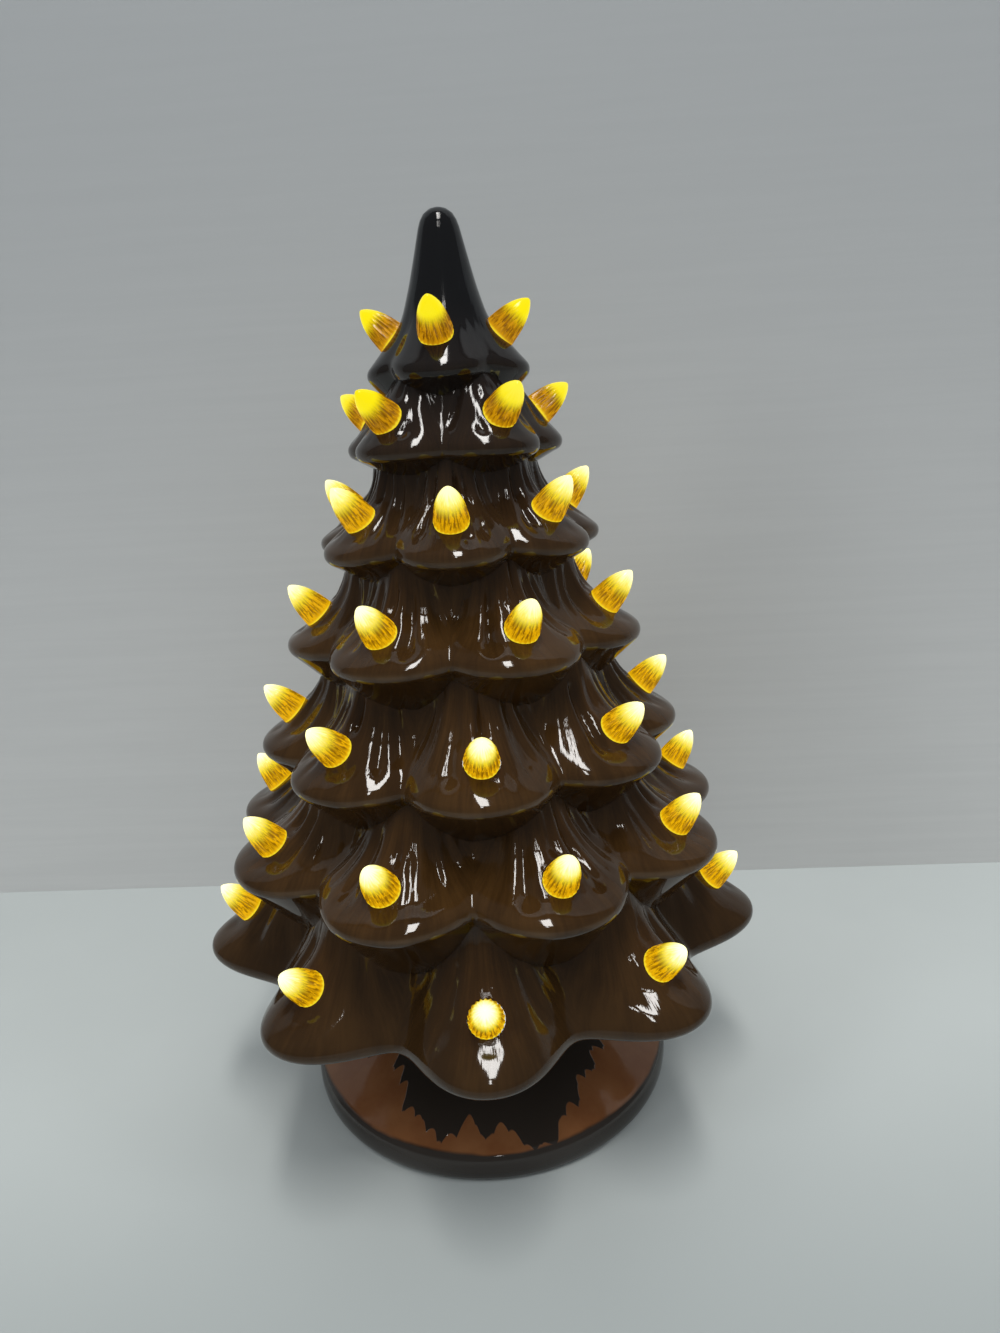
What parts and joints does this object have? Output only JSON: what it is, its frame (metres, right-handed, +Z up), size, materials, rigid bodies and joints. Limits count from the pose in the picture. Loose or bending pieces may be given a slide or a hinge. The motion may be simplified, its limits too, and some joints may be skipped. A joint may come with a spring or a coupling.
{
  "type": "lit ceramic tree",
  "caption": "Hollow dark-glazed ceramic table tree with scalloped tiers and rings of amber plastic bulbs, lifting off a round glazed stand that holds a battery lamp.",
  "frame": {"origin": "centre of the stand's foot on the table", "axes": "+Z up along the tree's axis, -Y towards the front that the picture shows"},
  "size_m": [0.2313, 0.2294, 0.356],
  "materials": {
    "tree_glaze": "glossy brown-black glaze",
    "bulb_plastic": "translucent amber, lit from inside",
    "stand_glaze": "glossy brown-orange glaze with a black rim and trunk",
    "felt": "thin felt",
    "black_plastic": "moulded",
    "white_plastic": "moulded",
    "cell_wrap": "plain printed sleeve without marks",
    "plated_steel": "nickel plated",
    "board_green": "circuit board",
    "board_white": "white solder mask on metal",
    "led_phosphor": "warm white phosphor",
    "frosted_plastic": "frosted diffuser",
    "lead_red": "insulated wire",
    "lead_black": "insulated wire"
  },
  "bodies": {
    "stand": {"base_stand": "stand_glaze", "felt_ring": "felt", "battery_tray": "black_plastic", "cell_1": "cell_wrap", "cell_2": "cell_wrap", "cell_3": "cell_wrap", "positive_contacts": "plated_steel", "negative_contacts": "plated_steel", "switch_body": "black_plastic", "control_board": "board_green", "board_components": "black_plastic", "lamp_post": "white_plastic", "post_screws": "plated_steel", "led_board": "board_white", "led_chips": "led_phosphor", "lamp_dome": "frosted_plastic", "lead_plus": "lead_red", "lead_minus": "lead_black"},
    "tree": {"tree_shell": "tree_glaze", "tier_1_bulbs": "bulb_plastic", "tier_2_bulbs": "bulb_plastic", "tier_3_bulbs": "bulb_plastic", "tier_4_bulbs": "bulb_plastic", "tier_5_bulbs": "bulb_plastic", "tier_6_bulbs": "bulb_plastic", "tier_7_bulbs": "bulb_plastic"},
    "door": {"battery_door": "black_plastic"},
    "slider": {"switch_slider": "white_plastic"}
  },
  "joints": [
    {"name": "tree_lift", "type": "slide", "parent": "stand", "child": "tree", "axis": [0, 0, 1], "range_m": [0, 0.06]},
    {"name": "door_hinge", "type": "hinge", "parent": "stand", "child": "door", "pos_m": [-0.02685, 0, 0.0053], "axis": [0, 1, 0], "range_deg": [0, 90]},
    {"name": "switch_slide", "type": "slide", "parent": "stand", "child": "slider", "axis": [1, 0, 0], "range_m": [0, 0.003]}
  ]
}
